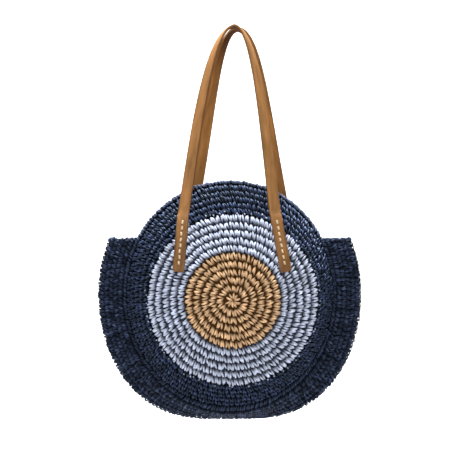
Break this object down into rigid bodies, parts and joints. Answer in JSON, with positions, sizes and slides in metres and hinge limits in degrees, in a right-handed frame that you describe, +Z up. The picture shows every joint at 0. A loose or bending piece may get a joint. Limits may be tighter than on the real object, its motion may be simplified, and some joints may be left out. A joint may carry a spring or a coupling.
{
  "type": "circle bag",
  "caption": "Round crocheted straw tote with natural, pale blue and navy rounds, a navy gusset with ears and tan leather strap handles.",
  "frame": {"origin": "hang point: the middle of the undersides of the two gathered handle crowns", "axes": "+X to the right as seen from the front, +Y to the back, +Z up; the front panel faces -Y"},
  "size_m": [0.4291, 0.1378, 0.647],
  "materials": {
    "natural_straw": "matt crocheted paper straw",
    "pale_blue_straw": "matt crocheted paper straw",
    "navy_straw": "matt crocheted paper straw",
    "tan_leather": "satin, smooth grain, raw edges",
    "cream_thread": "waxed thread",
    "cream_cotton": "plain weave",
    "antique_brass": "satin",
    "steel_washer": "zinc plated"
  },
  "bodies": {
    "bag_back": {"back_centre_disc": "natural_straw", "back_middle_ring": "pale_blue_straw", "back_outer_ring": "navy_straw", "back_joining_round": "navy_straw", "back_mouth_edging": "navy_straw", "back_lining": "cream_cotton", "back_snap_washer": "steel_washer", "back_left_tab": "tan_leather", "back_left_stitches": "cream_thread", "back_left_patch": "tan_leather", "back_right_tab": "tan_leather", "back_right_stitches": "cream_thread", "back_right_patch": "tan_leather", "gusset_band": "navy_straw", "gusset_lining": "cream_cotton", "slip_pocket": "cream_cotton", "snap_socket": "antique_brass"},
    "front_panel": {"front_centre_disc": "natural_straw", "front_middle_ring": "pale_blue_straw", "front_outer_ring": "navy_straw", "front_joining_round": "navy_straw", "front_mouth_edging": "navy_straw", "front_lining": "cream_cotton", "front_snap_washer": "steel_washer", "front_left_tab": "tan_leather", "front_left_stitches": "cream_thread", "front_left_patch": "tan_leather", "front_right_tab": "tan_leather", "front_right_stitches": "cream_thread", "front_right_patch": "tan_leather", "snap_stud": "antique_brass"},
    "front_handle": {"front_handle_strap": "tan_leather"},
    "back_handle": {"back_handle_strap": "tan_leather"}
  },
  "joints": [
    {"name": "mouth_open", "type": "hinge", "parent": "bag_back", "child": "front_panel", "pos_m": [-0.01025, -0.042, -0.6204], "axis": [1, 0, 0], "range_deg": [0, 8]},
    {"name": "front_handle_swing", "type": "hinge", "parent": "front_panel", "child": "front_handle", "pos_m": [-0.01025, -0.0576, -0.308], "axis": [1, 0, 0], "range_deg": [0, 155]},
    {"name": "back_handle_swing", "type": "hinge", "parent": "bag_back", "child": "back_handle", "pos_m": [-0.01025, 0.0594, -0.308], "axis": [-1, 0, 0], "range_deg": [0, 155]}
  ]
}
